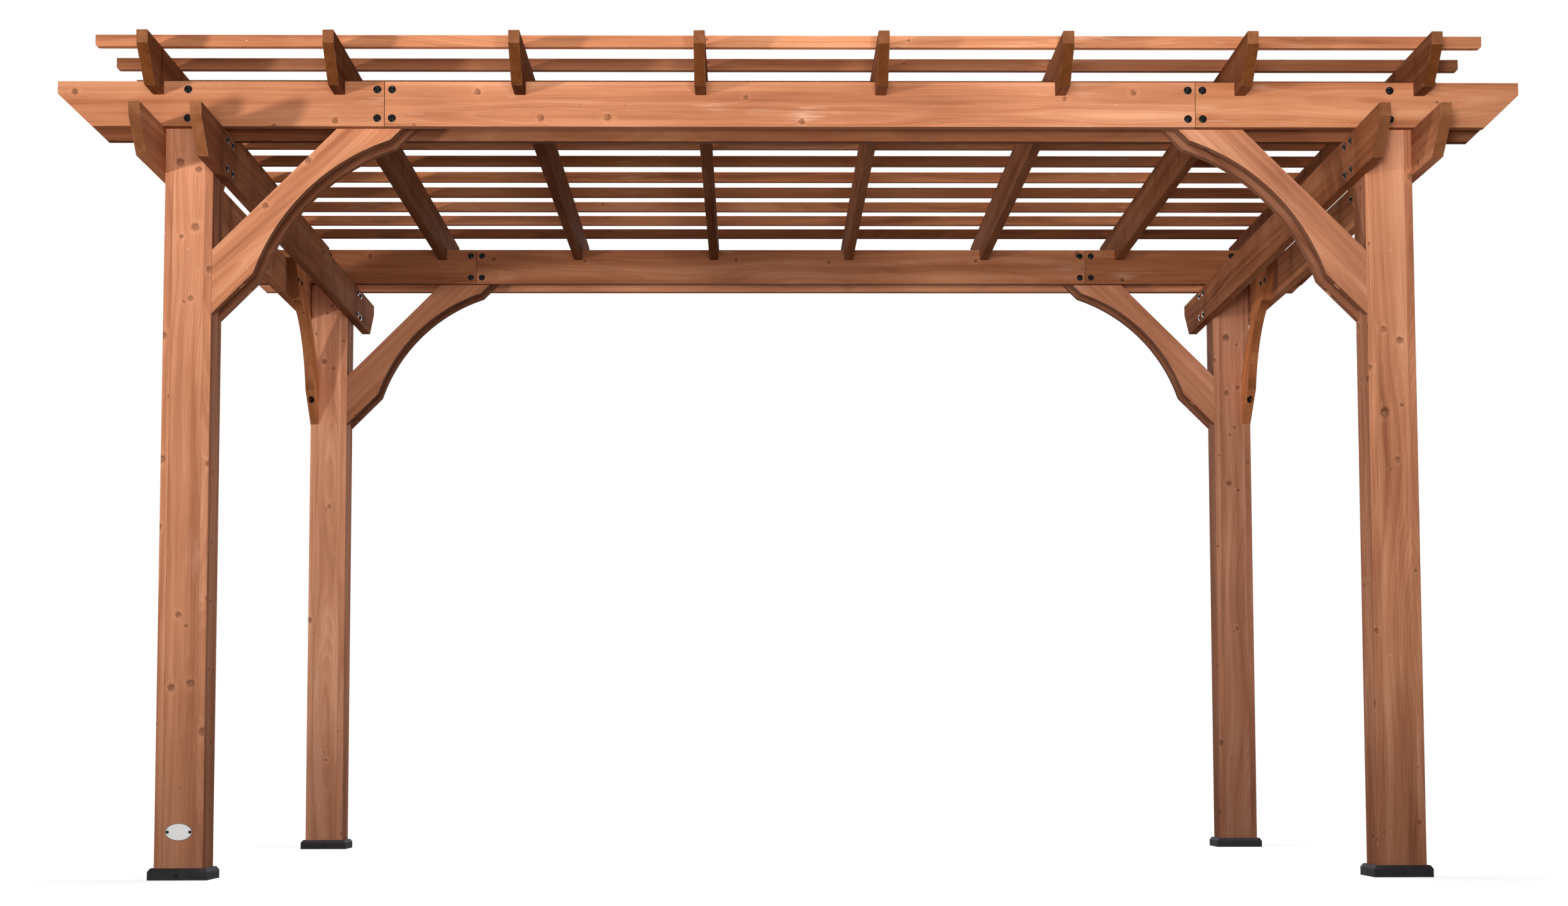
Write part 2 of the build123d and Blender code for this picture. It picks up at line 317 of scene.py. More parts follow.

    # pale worn marks and painted sheen beside the knots and along the board, and tiny chips
    scuffAndSheen = noise(tree, stretch(tree, onFace, look["smears"]), 1.0, 4.0, 0.65)
    scuffAndSheen = calc(tree, "MULTIPLY_ADD", swell, 0.05, scuffAndSheen)
    scuffAndSheen = calc(tree, "MULTIPLY", spread(tree, scuffAndSheen, 0.57, 0.76), given["Scuffsheen"])
    hair = noise(tree, stretch(tree, onFace, look["hairs"]), 1.0, 2.0)
    scuffAndSheen = calc(tree, "MULTIPLY", scuffAndSheen, spread(tree, hair, 0.38, 0.6, 0.12, 1.0))
    face = mixColor(tree, calc(tree, "MULTIPLY", scuffAndSheen, cover["scuffSheen"]), face, opaque(look["scuffSheen"]))
    chips = tree.nodes.new("ShaderNodeTexVoronoi")
    chips.voronoi_dimensions = "2D"
    chips.inputs["Scale"].default_value = 1.0
    chipCell = joinVector(tree, calc(tree, "MULTIPLY_ADD", along, look["chipCells"][0], faceShift),
                          calc(tree, "MULTIPLY", across, look["chipCells"][1]))
    tree.links.new(chipCell, chips.inputs["Vector"])
    chipChance, chipSize, chipShade = splitVector(tree, chips.outputs["Color"])
    chipReach = calc(tree, "MULTIPLY", chipSize, look["chipSize"])
    chip = calc(tree, "LESS_THAN", chips.outputs["Distance"], chipReach)
    chip = calc(tree, "MULTIPLY", chip, calc(tree, "LESS_THAN", chipChance, look["chipShare"]))
    chipColor = mixColor(tree, calc(tree, "GREATER_THAN", chipShade, 0.6),
                         opaque(look["chipDark"]), opaque(look["chipLight"]))
    face = mixColor(tree, chip, face, chipColor)

    # knots: a dark core, lopsided like a crescent, inside a reddish rim
    face = mixColor(tree, calc(tree, "MULTIPLY", rim, cover["knotRim"]), face, opaque(look["knotRim"]))
    lopsided = calc(tree, "DIVIDE", splitVector(tree, apart)[0], calc(tree, "MULTIPLY", radius, 2.2))
    crescent = calc(tree, "MULTIPLY_ADD", wobble, 1.6, calc(tree, "ADD", nearness, lopsided))
    crescent = spread(tree, calc(tree, "MULTIPLY_ADD", shade, 0.3, crescent), 1.35, 1.75)
    coreColor = mixColor(tree, crescent, opaque(look["knotHeart"]), opaque(look["knotCore"]))
    face = mixColor(tree, calc(tree, "MULTIPLY", core, cover["knotCore"]), face, coreColor)

    # each board's own tone, with the painted shade of its kind and of the board
    boardNumber = calc(tree, "ROUND", calc(tree, "DIVIDE", wide, given["Step"]))
    own = calc(tree, "SINE", calc(tree, "MULTIPLY_ADD", boardNumber, 2.1, pith[0]))
    tone = calc(tree, "MULTIPLY_ADD", own, given["Uneven"], 1.0)
    tone = calc(tree, "MULTIPLY", tone, calc(tree, "MULTIPLY_ADD", stripSign, 0.05, 1.0))
    tone = calc(tree, "MULTIPLY", tone, given["Tone"])

    # painted light and shade: upward faces are painted lighter, posts darker towards the ground, the faces
    # inside a brace's gap darker, and the narrow faces of posts, beams and braces darker
    litFromAbove = spread(tree, splitVector(tree, coords.outputs["Normal"])[2], 0.6, 0.9)
    tone = scaleWhere(tree, tone, litFromAbove, given["Toplight"])
    # painted shade: posts darker towards the ground
    shadeNearGround = spread(tree, splitVector(tree, coords.outputs["Object"])[2], 0.8, 0.05)
    groundShade = calc(tree, "SUBTRACT", 1.0, calc(tree, "MULTIPLY", shadeNearGround, given["Footshade"]))
    tone = calc(tree, "MULTIPLY", tone, groundShade)
    # painted shade: darker faces inside a brace's gap
    inShadedGap = calc(tree, "LESS_THAN", calc(tree, "ABSOLUTE", wide), given["Inside"])
    tone = scaleWhere(tree, tone, inShadedGap, look["gapShade"])
    # painted shade: darker narrow faces
    tone = scaleWhere(tree, tone, spread(tree, wideTilt, 0.55, 0.45), given["Edges"])

    # a darker tone is redder too, both where the stain is deeper and where shade is painted in
    green = calc(tree, "MULTIPLY", calc(tree, "POWER", tone, look["deepGreen"]),
                 calc(tree, "MULTIPLY_ADD", given["Pink"], look["pinkGreen"], 1.0))
    blue = calc(tree, "MULTIPLY", calc(tree, "POWER", tone, look["deepBlue"]),
                calc(tree, "MULTIPLY_ADD", given["Pink"], look["pinkBlue"], 1.0))
    face = calcVector(tree, "MULTIPLY", face, joinVector(tree, tone, green, blue))

    # sawn ends are darker and show the rings, and a slanted cut has soaked up more stain
    endNoise = noise(tree, stretch(tree, board, look["endGrain"]), 1.0, 3.0, 0.6)
    endPatch = noise(tree, stretch(tree, board, look["endPatches"]), 1.0, 2.0, 0.5)
    weights = look["endWeights"]
    endValue = calc(tree, "MULTIPLY", endNoise, weights["grain"])
    endValue = calc(tree, "MULTIPLY_ADD", ring, weights["rings"], endValue)
    endValue = calc(tree, "MULTIPLY_ADD", endPatch, weights["patches"], endValue)
    cut = ramp(tree, endValue, [(0.2, look["cutDark"]), (0.95, look["cutLight"])])
    upright = ramp(tree, endValue, [(0.2, look["endDark"]), (0.95, look["endLight"])])
    soaked = calc(tree, "MULTIPLY", spread(tree, endTilt, 0.97, 0.76), given["Soak"])
    end = mixColor(tree, soaked, upright, cut)
    end = calcVector(tree, "MULTIPLY", end, joinVector(tree, given["Ends"], given["Ends"], given["Ends"]))
    endMask = spread(tree, endTilt, 0.30, 0.66)
    color = mixColor(tree, endMask, face, end)

    # eased arrises are painted pale here and there, partly as worn wood and partly as a painted highlight
    bevel = tree.nodes.new("ShaderNodeBevel")
    bevel.samples = 4
    bevel.inputs["Radius"].default_value = look["edgeRadius"]
    geometry = tree.nodes.new("ShaderNodeNewGeometry")
    bend = calcVector(tree, "DOT_PRODUCT", bevel.outputs[0], geometry.outputs["True Normal"])
    paleArrisPatches = noise(tree, stretch(tree, board, look["arrisPatches"]), 1.0, 3.0, 0.7)
    wearAndHighlight = calc(tree, "MULTIPLY", spread(tree, bend, 0.995, 0.95), spread(tree, paleArrisPatches, 0.42, 0.62))
    color = mixColor(tree, calc(tree, "MULTIPLY", wearAndHighlight, cover["edge"]), color, opaque(look["edge"]))

    # a post's glue seams
    fromSeam = calc(tree, "SUBTRACT", calc(tree, "ABSOLUTE", deep), given["Seam"])
    joint = spread(tree, calc(tree, "ABSOLUTE", fromSeam), *look["seamHalf"])
    color = mixColor(tree, calc(tree, "MULTIPLY", joint, cover["seam"]), color, opaque(look["knotRim"]))
    tree.links.new(color, result["Color"])

    # ends are rougher and knots smoother
    rough = calc(tree, "MULTIPLY_ADD", fibres, 0.15, 0.70)
    rough = calc(tree, "MULTIPLY_ADD", endMask, 0.1, rough)
    rough = calc(tree, "MULTIPLY_ADD", core, -0.12, rough)
    tree.links.new(rough, result["Roughness"])
    # fibres and rings stand up, knots and seams lie low
    height = calc(tree, "MULTIPLY_ADD", fibres, 0.35, calc(tree, "MULTIPLY", ring, 0.35))
    height = calc(tree, "MULTIPLY_ADD", core, -0.5, height)
    height = calc(tree, "MULTIPLY_ADD", joint, -0.6, height)
    height = calc(tree, "MULTIPLY_ADD", calc(tree, "MULTIPLY", endMask, endNoise), 0.8, height)
    tree.links.new(height, result["Height"])
    return tree


cedarGroup = makeCedarGroup()

# tone: light or dark stain, and painted shade on rafters, slats and side beams; pink: below 0 is more
# orange;
# seam: from a post's middle to its glue seams; knots: their share; pairs: 1 where they come in pairs; soak:
# how dark a slanted cut is;
# the narrow and upward faces: how much painted shade and painted light they get; near the ground: painted
# shade on posts; uneven: how unlike the slats are
boardKinds = {
    "post": {"seam": 0.0472, "pairs": 1.0, "pink": 0.8, "tone": 1.15, "knots": 0.36, "scuffsheen": 0.35,
             "edges": 0.68, "footshade": 0.26},
    "beam": {"pink": 0.0, "tone": 1.04, "knots": 0.26, "scuffsheen": 1.0, "edges": 0.66},
    "side": {"pink": -0.2, "tone": 0.80, "knots": 0.25, "scuffsheen": 0.3, "soak": 0.3},
    "brace": {"pink": 0.5, "tone": 1.04, "knots": 0.25, "scuffsheen": 0.3, "edges": 0.48},
    "sideBrace": {"pink": -0.7, "tone": 1.10, "knots": 0.25, "scuffsheen": 0.3, "edges": 0.66},
    "rafter": {"pink": -0.3, "tone": 0.36, "knots": 0.22, "scuffsheen": 0.3, "toplight": 2.4},
    "slat": {"pink": -0.2, "tone": 0.66, "knots": 0.45, "scuffsheen": 1.3, "uneven": 0.50, "toplight": 1.7},
}
# what a board has where its kind says nothing
plainBoard = {"seam": 10.0, "pairs": 0.0, "soak": 1.0, "edges": 1.0, "toplight": 1.1, "footshade": 0.0, "uneven": 0.0}
# boards painted lighter or darker than their kind, as painted light and shade
boardShading = {
    "front_beam_outer_left": 0.84, "front_beam_outer_right": 0.88, "front_beam_inner": 0.40,
    "back_beam_inner": 0.60, "post_back_left": 1.16, "post_back_right": 0.74, "post_front_right": 0.97,
    "long_brace_front_right": 0.92, "long_brace_back_left": 0.62, "long_brace_back_right": 0.84,
    "side_beam_left_inner": 0.52, "side_beam_right_inner": 0.64,
    "rafter_2": 0.75, "rafter_3": 0.75, "rafter_4": 0.85,
    "rafter_5": 1.15, "rafter_6": 1.15, "rafter_8": 0.88,
    "roof_slats_1": 1.14, "roof_slats_2": 1.15, "roof_slats_3": 1.05,
}
braceCheek = 0.032   # thickness of each of a long brace's two cheeks
slatRow = 0.949      # from one slat to the next, of half their group's width
# which slat of the three is the lightest
slatPhases = {"roof_slats_1": 3.67, "roof_slats_3": 1.57, "roof_slats_4": 2.6}


def grainOf(name):
    # the kind of board, the direction its grain runs and the direction its broad faces look
    if name.startswith("post_"):
        return "post", (0, 0, 1), (0, 1, 0)
    if name.startswith("side_beam"):
        return "side", (0, 1, 0), (1, 0, 0)
    if name.startswith("rafter"):
        return "rafter", (0, 1, 0), (1, 0, 0)
    if name.startswith("roof_slats"):
        return "slat", (1, 0, 0), (0, 1, 0)
    if name.startswith("long_brace"):
        return "brace", (1 if "left" in name else -1, 0, 1), (0, 1, 0)
    if name.startswith("side_brace"):
        return "sideBrace", (0, 1 if "front" in name else -1, 1), (1, 0, 0)
    return "beam", (1, 0, 0), (0, 1, 0)


def cedarFor(name):
    kind, grain, broad = grainOf(name)
    look = {**plainBoard, **boardKinds[kind]}
    chance = random.Random("cedar " + name)
    grain, broad = Vector(grain).normalized(), Vector(broad)
    turn = Matrix((grain, broad, grain.cross(broad)))
    low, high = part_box(name)
    centre = turn @ ((low + high) / 2)
    material, tree, shader = newMaterial("cedar_" + name)
    group = tree.nodes.new("ShaderNodeGroup")
    group.node_tree = cedarGroup
    sockets = group.inputs
    for key in ("seam", "pairs", "knots", "scuffsheen", "soak", "edges", "toplight", "footshade", "uneven"):
        sockets[key.capitalize()].default_value = look[key]
    sockets["Turn"].default_value = turn.to_euler()
    sockets["Move"].default_value = Vector((chance.uniform(3, 40), 0, 0)) - centre
    angle = chance.uniform(0, 2 * math.pi)
    off = chance.uniform(0.05, 0.13)
    phase = slatPhases.get(name, chance.uniform(0, 6))
    sockets["Pith"].default_value = (phase, off * math.cos(angle), off * math.sin(angle))
    # the board's own painted light or shade
    boardShade = [tone for start, tone in boardShading.items() if name.startswith(start)] or [1.0]
    sockets["Tone"].default_value = look["tone"] * chance.uniform(0.96, 1.04) * boardShade[0]
    sockets["Ends"].default_value = chance.uniform(0.85, 1.3)
    sockets["Pink"].default_value = look["pink"] + chance.uniform(-0.3, 0.3)
    if kind == "brace":
        # the faces inside the gap get painted shade
        # to just past the inner faces of the two cheeks
        sockets["Inside"].default_value = (high.y - low.y) / 2 - braceCheek + 0.001
    if kind == "slat":
        sockets["Step"].default_value = (high.y - low.y) / 2 * slatRow
    tree.links.new(group.outputs["Color"], shader.inputs["Base Color"])
    tree.links.new(group.outputs["Roughness"], shader.inputs["Roughness"])
    shader.inputs["Specular IOR Level"].default_value = cedarLook["gloss"]
    addBump(tree, shader, group.outputs["Height"], cedarLook["bumpStrength"], cedarLook["bumpHeight"])
    return material


# black shoes and the bare badge

shoeLook = {
    "black": (0.046, 0.044, 0.048), "dust": (0.11, 0.105, 0.105), "gloss": 0.008,
    "grainScale": 420.0, "dustScale": 14.0, "scratches": (30.0, 30.0, 400.0),
    "bumpStrength": 0.3, "bumpHeight": 0.0006,
}


def makeShoeMaterial():
    look = shoeLook
    material, tree, shader = newMaterial("shoeBlack")
    coords = tree.nodes.new("ShaderNodeTexCoord").outputs["Object"]
    grain = noise(tree, coords, look["grainScale"], 3.0, 0.6)
    dusty = spread(tree, noise(tree, coords, look["dustScale"], 5.0, 0.7), 0.48, 0.75)
    scratches = noise(tree, calcVector(tree, "MULTIPLY", coords, look["scratches"]), 1.0, 3.0)
    scratches = calc(tree, "MULTIPLY", spread(tree, scratches, 0.63, 0.72), 0.35)
    amount = calc(tree, "ADD", calc(tree, "MULTIPLY", dusty, 0.35), scratches, clamp=True)
    color = mixColor(tree, amount, opaque(look["black"]), opaque(look["dust"]))
    tree.links.new(color, shader.inputs["Base Color"])
    tree.links.new(calc(tree, "MULTIPLY_ADD", grain, 0.25, 0.55), shader.inputs["Roughness"])
    shader.inputs["Specular IOR Level"].default_value = look["gloss"]
    addBump(tree, shader, grain, look["bumpStrength"], look["bumpHeight"])
    return material


# the rim runs between two shares of the plate's half width
badgeLook = {
    "plate": (0.98, 0.975, 0.95), "grime": (0.42, 0.38, 0.33), "rim": (0.07, 0.065, 0.08),
    "rimStart": 0.945, "rimEnd": 1.05, "rimFade": 0.01, "rimCover": 0.85,
}


def makeBadgeMaterial():
    look = badgeLook
    material, tree, shader = newMaterial("badgeEnamel")
    low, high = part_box("badge_plate")
    centre, half = (low + high) / 2, (high - low) / 2
    coords = tree.nodes.new("ShaderNodeTexCoord").outputs["Object"]
    local = calcVector(tree, "SUBTRACT", coords, centre)
    local = calcVector(tree, "MULTIPLY", local, (1 / half.x, 0.0, 1 / half.z))
    radius = calcVector(tree, "LENGTH", local)
    line = band(tree, radius, (look["rimStart"] - look["rimFade"], look["rimStart"]),
                (look["rimEnd"] + look["rimFade"], look["rimEnd"]))
    grime = spread(tree, noise(tree, coords, 90.0, 4.0, 0.6), 0.45, 0.8, 0.0, 0.14)
    plate = mixColor(tree, grime, opaque(look["plate"]), opaque(look["grime"]))
    color = mixColor(tree, calc(tree, "MULTIPLY", line, look["rimCover"]), plate, opaque(look["rim"]))
    tree.links.new(color, shader.inputs["Base Color"])
    rough = calc(tree, "MULTIPLY_ADD", noise(tree, coords, 300.0, 2.0), 0.2, 0.22)
    tree.links.new(rough, shader.inputs["Roughness"])
    return material


shoeMaterial = makeShoeMaterial()
badgeMaterial = makeBadgeMaterial()
for name, node in nodes.items():
    node.data.materials.clear()
    if name.startswith("shoe_"):
        node.data.materials.append(shoeMaterial)
    elif name == "badge_plate":
        node.data.materials.append(badgeMaterial)
    else:
        node.data.materials.append(cedarFor(name))
print("materials on the boards, shoes and badge")


# bolts and screws

boltLook = {
    "dark": (0.002, 0.002, 0.003), "pale": (0.009, 0.008, 0.010), "gloss": 0.16,
    "washer": 0.0116, "washerRise": 0.0016, "head": 0.0078, "headRise": 0.0052,
    "socket": 0.0034, "socketDepth": 0.0030, "segments": 20, "sizeSpread": 0.02,
    # on the beams: from a board's edge, from a joint's middle, half a joint's gap, and from a post's middle
    "fromEdge": 0.024, "besideJoint": 0.0215, "jointHalf": 0.001, "sideSpacing": 0.037,
    # on the braces: from the post to a counterbore's bottom and up to its middle, from the post to the
    # two bolts in the side beam and down to them, and the size of the heads
    "boreIn": 0.035, "boreUp": 0.085, "beamBolts": (0.404, 0.470), "beamBoltDrop": 0.068, "braceSize": 0.93,
}


def makeBoltMaterial():
    look = boltLook
    material, tree, shader = newMaterial("boltBlack")
    coords = tree.nodes.new("ShaderNodeTexCoord").outputs["Object"]
    speckle = noise(tree, coords, 600.0, 3.0, 0.6)
    color = mixColor(tree, spread(tree, speckle, 0.45, 0.8), opaque(look["dark"]), opaque(look["pale"]))
    tree.links.new(color, shader.inputs["Base Color"])
    tree.links.new(calc(tree, "MULTIPLY_ADD", speckle, 0.14, 0.08), shader.inputs["Roughness"])
    shader.inputs["Specular IOR Level"].default_value = look["gloss"]
    return material


boltMaterial = makeBoltMaterial()


def latheMesh(name, profile, segments):
    # profile: (radius, height) from the rim inwards and up to the centre
    mesh = bpy.data.meshes.new(name)
    build = bmesh.new()
    angles = [2 * math.pi * step / segments for step in range(segments)]
    rings = []
    for radius, height in profile:
        if radius == 0:
            rings.append([build.verts.new((0, 0, height))])
        else:
            rings.append([build.verts.new((radius * math.cos(angle), radius * math.sin(angle), height))
                          for angle in angles])
    for lower, upper in zip(rings, rings[1:]):
        for step in range(segments):
            after = (step + 1) % segments
            if len(upper) == 1:
                build.faces.new((lower[step], lower[after], upper[0]))
            else:
                build.faces.new((lower[step], lower[after], upper[after], upper[step]))
    build.faces.new(list(reversed(rings[0])))
    for face in build.faces:
        face.smooth = True
    build.to_mesh(mesh)
    build.free()
    return bpy.data.objects.new(name, mesh)


def makeScatter():
    # sets a fastener on every point, turned to the point's own facing
    tree = bpy.data.node_groups.new("fastenerRows", "GeometryNodeTree")
    tree.is_modifier = True
    for name, kind in (
            ("Geometry", "NodeSocketGeometry"), ("Fastener", "NodeSocketObject"),
            ("Size", "NodeSocketFloat"), ("Size Spread", "NodeSocketFloat"),
            ("Seed", "NodeSocketInt"), ("Material", "NodeSocketMaterial")):
        tree.interface.new_socket(name, in_out="INPUT", socket_type=kind)
    tree.interface.new_socket("Geometry", in_out="OUTPUT", socket_type="NodeSocketGeometry")
    made, link = tree.nodes.new, tree.links.new
    given = made("NodeGroupInput").outputs
    info = made("GeometryNodeObjectInfo")
    link(given["Fastener"], info.inputs["Object"])
    facing = made("GeometryNodeInputNamedAttribute")
    facing.data_type = "FLOAT_VECTOR"
    facing.inputs["Name"].default_value = "facing"
    align = made("FunctionNodeAlignRotationToVector")
    align.axis = "Z"
    link(facing.outputs[0], align.inputs["Vector"])
    turn = made("FunctionNodeRandomValue")
    turn.data_type = "FLOAT"
    turn.inputs[3].default_value = 6.2832   # up to a full turn
    link(given["Seed"], turn.inputs["Seed"])
    spin = made("FunctionNodeAxisAngleToRotation")
    link(turn.outputs[1], spin.inputs["Angle"])
    whole = made("FunctionNodeRotateRotation")
    whole.rotation_space = "LOCAL"
    link(align.outputs[0], whole.inputs["Rotation"])
    link(spin.outputs[0], whole.inputs["Rotate By"])
    vary = made("FunctionNodeRandomValue")
    vary.data_type = "FLOAT"
    low, high = made("ShaderNodeMath"), made("ShaderNodeMath")
    low.operation, high.operation = "SUBTRACT", "ADD"
    for side in (low, high):
        link(given["Size"], side.inputs[0])
        link(given["Size Spread"], side.inputs[1])
    link(low.outputs[0], vary.inputs[2])
    link(high.outputs[0], vary.inputs[3])
    link(given["Seed"], vary.inputs["Seed"])
    place = made("GeometryNodeInstanceOnPoints")
    link(given["Geometry"], place.inputs["Points"])
    link(info.outputs["Geometry"], place.inputs["Instance"])
    link(whole.outputs[0], place.inputs["Rotation"])
    link(vary.outputs[1], place.inputs["Scale"])
    realize = made("GeometryNodeRealizeInstances")
    link(place.outputs[0], realize.inputs[0])
    paint = made("GeometryNodeSetMaterial")
    link(realize.outputs[0], paint.inputs["Geometry"])
    link(given["Material"], paint.inputs["Material"])
    smooth = made("GeometryNodeSetShadeSmooth")
    link(paint.outputs[0], smooth.inputs["Geometry"])
    link(smooth.outputs[0], made("NodeGroupOutput").inputs[0])
    return tree


scatter = makeScatter()


def setFasteners(name, spots, fastener, size, sizeSpread, seed):
    mesh = bpy.data.meshes.new(name + "_points")
    mesh.from_pydata([spot for spot, facing in spots], [], [])
    facings = mesh.attributes.new("facing", "FLOAT_VECTOR", "POINT")
    facings.data.foreach_set("vector", [part for spot, facing in spots for part in facing])
    holder = bpy.data.objects.new(name + "_rows", mesh)
    bpy.context.scene.collection.objects.link(holder)
    rows = holder.modifiers.new("rows", "NODES")
    rows.node_group = scatter
    wanted = {"Fastener": fastener, "Size": size, "Size Spread": sizeSpread,
              "Seed": seed, "Material": boltMaterial}
    for item in scatter.interface.items_tree:
        if item.in_out == "INPUT" and item.name in wanted:
            rows[item.identifier] = wanted[item.name]
    graph = bpy.context.evaluated_depsgraph_get()
    made = bpy.data.meshes.new_from_object(holder.evaluated_get(graph))
    holder.modifiers.remove(rows)
    bpy.data.objects.remove(holder)
    piece = bpy.data.objects.new(name, made)
    bpy.context.scene.collection.objects.link(piece)
    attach(piece, "root")
    print(name, len(spots), "fasteners,", len(made.polygons), "faces")


def makeBoltShape():
    look = boltLook
    washer, washerRise = look["washer"], look["washerRise"]
    head, headRise = look["head"], look["headRise"]
    socket, depth = look["socket"], look["socketDepth"]
    # the washer with a bevelled rim, the domed head on it, and the socket down into the head
    return latheMesh("boltShape", [
        (washer, 0.0), (washer, washerRise * 0.6), (washer * 0.94, washerRise),
        (head * 1.12, washerRise * 0.95), (head * 1.02, washerRise * 0.75), (head, washerRise),
        (head * 0.98, headRise * 0.56), (head * 0.88, headRise * 0.77), (head * 0.70, headRise * 0.92),
        (socket * 1.15, headRise), (socket, headRise * 0.95),
        (socket * 0.92, headRise - depth), (0, headRise - depth * 1.15)], look["segments"])


def boltSpots():
    look = boltLook
    spots = []
    front, back = Vector((0, -1, 0)), Vector((0, 1, 0))
    # long beams: one pair at each post and two on each side of a joint, on the faces that show
    for row in ("front", "back"):
        posts = [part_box(f"post_{row}_{side}") for side in ("left", "right")]
        for face in ("outer", "inner"):
            outward = front if (row == "front") == (face == "outer") else back
            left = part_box(f"{row}_beam_{face}_left")
            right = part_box(f"{row}_beam_{face}_right")
            y = left[0].y if outward == front else left[1].y
            heights = (left[1].z - look["fromEdge"], left[0].z + look["fromEdge"])
            columns = [(post[0].x + post[1].x) / 2 for post in posts]
            for joint in (left[1].x, right[0].x):
                middle = joint + math.copysign(look["jointHalf"], -joint)
                columns += [middle - look["besideJoint"], middle + look["besideJoint"]]
            spots += [((x, y, z), outward) for x in columns for z in heights]
    # side beams: four at each post
    for side in ("left", "right"):
        for face in ("outer", "inner"):
            low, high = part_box(f"side_beam_{side}_{face}")
            outward = Vector((1 if (side == "right") == (face == "outer") else -1, 0, 0))
            x = high.x if outward.x > 0 else low.x
            heights = (high.z - look["fromEdge"], low.z + look["fromEdge"])
            for row in ("front", "back"):
                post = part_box(f"post_{row}_{side}")
                middle = (post[0].y + post[1].y) / 2
                spots += [((x, middle + shift, z), outward)
                          for shift in (-look["sideSpacing"], look["sideSpacing"]) for z in heights]
    return spots


def braceSpots():
    look = boltLook
    spots = []
    for row in ("front", "back"):
        for side in ("left", "right"):
            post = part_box(f"post_{row}_{side}")
            # a head at the bottom of each counterbore
            low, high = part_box(f"long_brace_{row}_{side}")
            inward = 1 if side == "left" else -1
            face = post[1].x if side == "left" else post[0].x
            for y in (low.y + braceCheek / 2, high.y - braceCheek / 2):
                place = (face + inward * look["boreIn"], y, low.z + look["boreUp"])
                spots.append((place, Vector((inward, 0, 0))))
            low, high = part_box(f"side_brace_{row}_{side}")
            inwardY = 1 if row == "front" else -1
            faceY = post[1].y if row == "front" else post[0].y
            place = ((low.x + high.x) / 2, faceY + inwardY * look["boreIn"], low.z + look["boreUp"])
            spots.append((place, Vector((0, inwardY, 0))))
            # two where the side brace is bolted to the beam
            x = high.x if side == "left" else low.x
            for along in look["beamBolts"]:
                place = (x, faceY + inwardY * along, high.z - look["beamBoltDrop"])
                spots.append((place, Vector((inward, 0, 0))))
    return spots


boltShape = makeBoltShape()
setFasteners("beam_bolts", boltSpots(), boltShape,
             size=1.0, sizeSpread=boltLook["sizeSpread"], seed=4)
setFasteners("brace_bolts", braceSpots(), boltShape,
             size=boltLook["braceSize"], sizeSpread=boltLook["sizeSpread"], seed=9)

screwLook = {
    "inset": 0.0065, "segments": 16,
    "profile": [(0.0046, 0.0), (0.0046, 0.0006), (0.0040, 0.0014), (0.0022, 0.0019),
                (0.0013, 0.0018), (0.0011, 0.0006), (0, 0.0005)],
}
screwShape = latheMesh("screwShape", screwLook["profile"], screwLook["segments"])
low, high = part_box("badge_plate")
screwSpots = [((x, low.y, (low.z + high.z) / 2), Vector((0, -1, 0)))
              for x in (low.x + screwLook["inset"], high.x - screwLook["inset"])]
setFasteners("badge_screws", screwSpots, screwShape, size=1.0, sizeSpread=0.0, seed=2)


# floor, world, lamps and camera

stageLook = {
    "floorGrey": 0.22, "floorSize": 80.0, "world": 0.10, "worldTint": (0.95, 0.97, 1.0),
    # how bright the floor is where it is seen, near and far, and the distances these hold for
    "glowNear": 0.86, "glowFar": 1.0, "glowFrom": 2.5, "glowTo": 8.0,
}


def pickSurface(tree, lit, seen, outputKind):
    # one shader for what lights the pergola, the other for what the camera and reflections see
    path = tree.nodes.new("ShaderNodeLightPath").outputs
    direct = calc(tree, "MAXIMUM", path["Is Camera Ray"], path["Is Glossy Ray"])
    direct = calc(tree, "MAXIMUM", direct, path["Is Transmission Ray"])
    pick = tree.nodes.new("ShaderNodeMixShader")
    tree.links.new(direct, pick.inputs[0])
    tree.links.new(lit, pick.inputs[1])
    tree.links.new(seen, pick.inputs[2])
    tree.links.new(pick.outputs[0], tree.nodes.new(outputKind).inputs["Surface"])


def makeFloor():
    look = stageLook
    mesh = bpy.data.meshes.new("floor")
    half = look["floorSize"] / 2
    corners = [(-half, -half, 0), (half, -half, 0), (half, half, 0), (-half, half, 0)]
    mesh.from_pydata(corners, [], [(0, 1, 2, 3)])
    floor = bpy.data.objects.new("floor", mesh)
    bpy.context.scene.collection.objects.link(floor)
    material = bpy.data.materials.new("paleFloor")
    material.use_nodes = True
    tree = material.node_tree
    tree.nodes.clear()
    grey = tree.nodes.new("ShaderNodeBsdfDiffuse")
    grey.inputs["Color"].default_value = opaque([look["floorGrey"]] * 3)
    glow = tree.nodes.new("ShaderNodeEmission")
    coords = tree.nodes.new("ShaderNodeTexCoord").outputs["Object"]
    strength = spread(tree, calcVector(tree, "LENGTH", coords), look["glowFrom"], look["glowTo"],
                      look["glowNear"], look["glowFar"])
    tree.links.new(strength, glow.inputs["Strength"])
    both = tree.nodes.new("ShaderNodeAddShader")
    tree.links.new(grey.outputs[0], both.inputs[0])
    tree.links.new(glow.outputs[0], both.inputs[1])
    pickSurface(tree, grey.outputs[0], both.outputs[0], "ShaderNodeOutputMaterial")
    mesh.materials.append(material)


def makeWorld():
    world = bpy.data.worlds.new("studio")
    bpy.context.scene.world = world
    world.use_nodes = True
    tree = world.node_tree
    tree.nodes.clear()
    light = tree.nodes.new("ShaderNodeBackground")
    light.inputs["Color"].default_value = opaque(stageLook["worldTint"])
    light.inputs["Strength"].default_value = stageLook["world"]
    white = tree.nodes.new("ShaderNodeBackground")
    white.inputs["Color"].default_value = (1, 1, 1, 1)
    white.inputs["Strength"].default_value = 1.0
    pickSurface(tree, light.outputs[0], white.outputs[0], "ShaderNodeOutputWorld")


